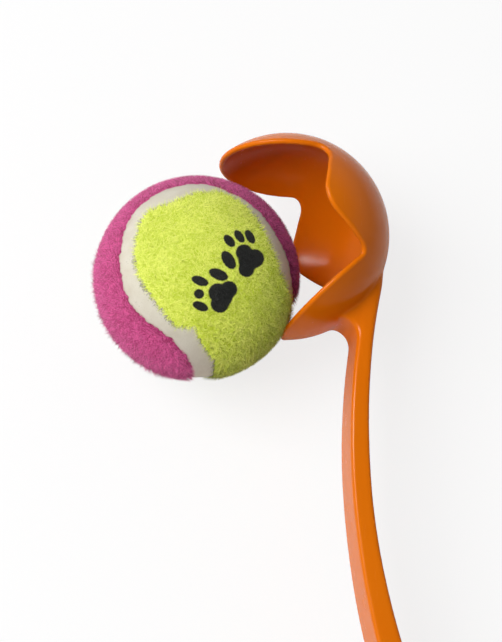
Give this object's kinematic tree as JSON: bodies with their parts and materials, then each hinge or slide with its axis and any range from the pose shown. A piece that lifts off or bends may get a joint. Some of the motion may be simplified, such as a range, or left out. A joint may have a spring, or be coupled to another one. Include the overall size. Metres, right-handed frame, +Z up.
{
  "type": "dog ball thrower",
  "caption": "Hand-held thrower for dog balls: a snap-in cup on a springy curved shaft with a grooved hand grip, and a two-tone felt ball lying at the mouth of the cup.",
  "frame": {"origin": "middle of the whole object's footprint, on the surface it lies on", "axes": "+Y along the thrower from the butt of the grip to the cup, +Z up out of the surface it lies on, +X towards the back of the cup, so the cup's mouth and the ball are on the -X side"},
  "size_m": [0.1556, 0.4782, 0.0665],
  "materials": {
    "moulded_plastic": "glossy orange injection-moulded polypropylene",
    "yellow_felt": "napped fluorescent yellow wool and nylon felt",
    "pink_felt": "napped pink wool and nylon felt",
    "seam_cement": "matt cream rubber seam cement",
    "core_rubber": "matt dark moulded rubber"
  },
  "bodies": {
    "thrower": {"thrower": "moulded_plastic"},
    "ball": {"felt_yellow": "yellow_felt", "felt_pink": "pink_felt", "seam_rubber": "seam_cement", "core_shell_front": "core_rubber", "core_shell_back": "core_rubber"}
  },
  "joints": [
    {"name": "ball_seat", "type": "hinge", "parent": "thrower", "child": "ball", "pos_m": [-0.00282, 0.14152, 0.03035], "axis": [0, -0.0444, 0.999], "range_deg": [-30.5, 25], "deforming": ["felt_yellow", "felt_pink", "seam_rubber"]}
  ]
}
